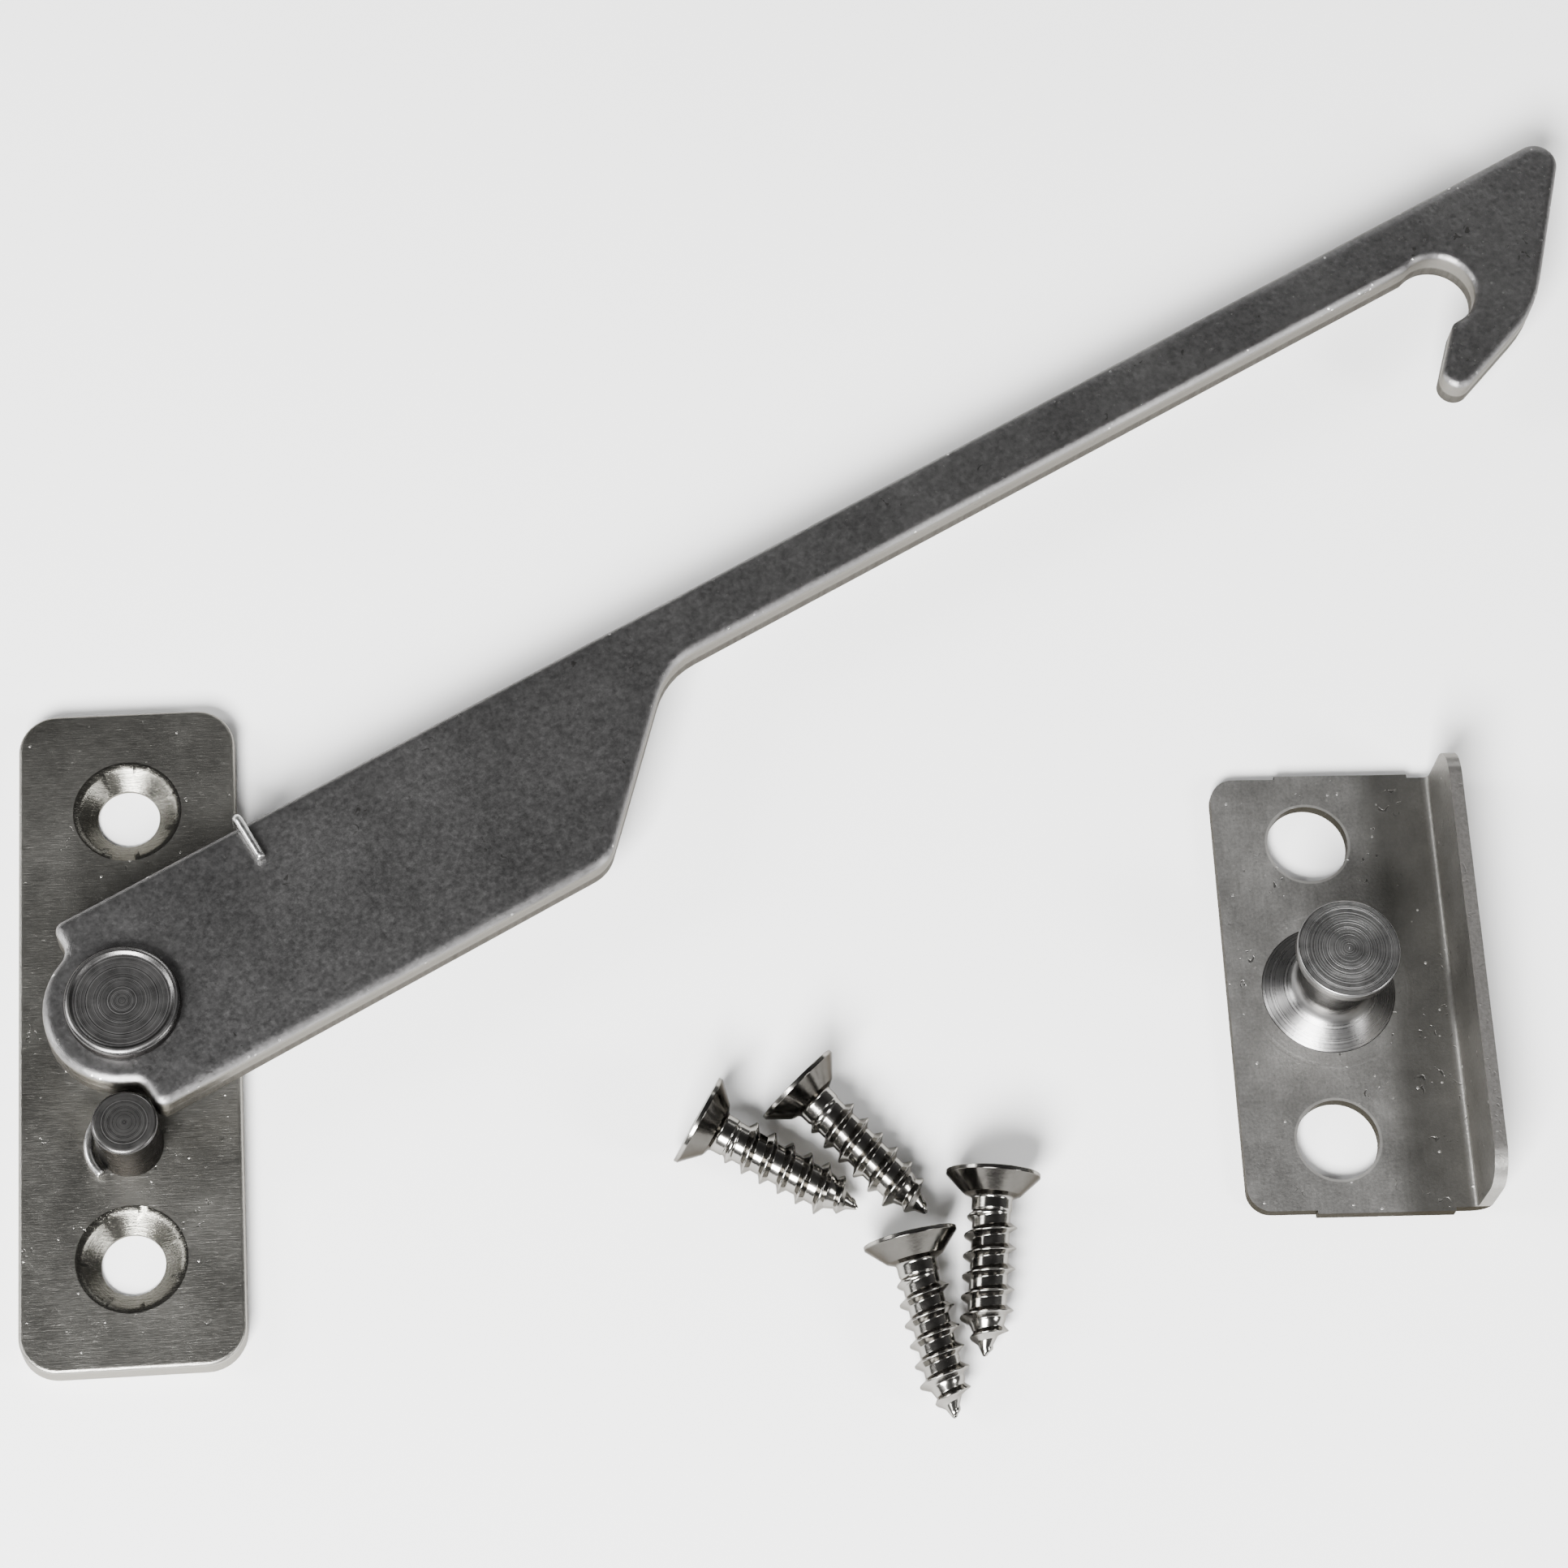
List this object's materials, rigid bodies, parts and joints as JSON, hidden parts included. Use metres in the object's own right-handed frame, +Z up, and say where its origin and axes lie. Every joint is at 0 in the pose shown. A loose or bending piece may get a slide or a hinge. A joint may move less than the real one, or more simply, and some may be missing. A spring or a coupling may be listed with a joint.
{
  "type": "window restrictor",
  "caption": "Flat steel window restrictor: a sprung hook arm riveted to a countersunk base plate, with a flanged catch plate, its headed pin and loose countersunk screws.",
  "frame": {"origin": "foot of the pivot axis on the underside of the base plate, midway between the plate's two screw holes; every piece lies on or above the plane through it", "axes": "+X across the base plate towards the catch plate, +Y along the base plate towards the side that the arm rests on, +Z up out of the base plate along the pivot"},
  "size_m": [0.1388, 0.1136, 0.0105],
  "materials": {
    "plate_steel": "satin, lightly scratched",
    "arm_steel": "tumbled, dull, with bright rolled edges",
    "catch_steel": "satin, fine scratches and small pits",
    "rivet_steel": "turned, bright rim and dull dish",
    "pin_steel": "turned, fine concentric rings",
    "spring_wire": "drawn wire, bright",
    "screw_plating": "bright nickel plate"
  },
  "bodies": {
    "base": {"base_plate": "plate_steel", "pivot_rivet": "rivet_steel", "spacer_bush": "rivet_steel", "stop_stud": "rivet_steel", "torsion_spring": "spring_wire"},
    "arm": {"hook_arm": "arm_steel"},
    "catch": {"catch_plate": "catch_steel", "catch_pin": "pin_steel"},
    "screw_1": {"screw_1": "screw_plating"},
    "screw_2": {"screw_2": "screw_plating"},
    "screw_3": {"screw_3": "screw_plating"},
    "screw_4": {"screw_4": "screw_plating"}
  },
  "joints": [
    {"name": "arm_pivot", "type": "hinge", "parent": "base", "child": "arm", "pos_m": [0, 0, 0.006], "axis": [0, 0, 1], "range_deg": [0, 124], "stiffness_Nm_per_rad": 0.05, "springref_deg": -28.65, "deforming": ["torsion_spring"]},
    {"name": "catch_lift", "type": "slide", "parent": "base", "child": "catch", "axis": [0, 0, 1], "range_m": [0, 0.03]},
    {"name": "screw_1_lift", "type": "slide", "parent": "base", "child": "screw_1", "axis": [0, 0, 1], "range_m": [0, 0.03]},
    {"name": "screw_2_lift", "type": "slide", "parent": "base", "child": "screw_2", "axis": [0, 0, 1], "range_m": [0, 0.03]},
    {"name": "screw_3_lift", "type": "slide", "parent": "base", "child": "screw_3", "axis": [0, 0, 1], "range_m": [0, 0.03]},
    {"name": "screw_4_lift", "type": "slide", "parent": "base", "child": "screw_4", "axis": [0, 0, 1], "range_m": [0, 0.03]}
  ]
}
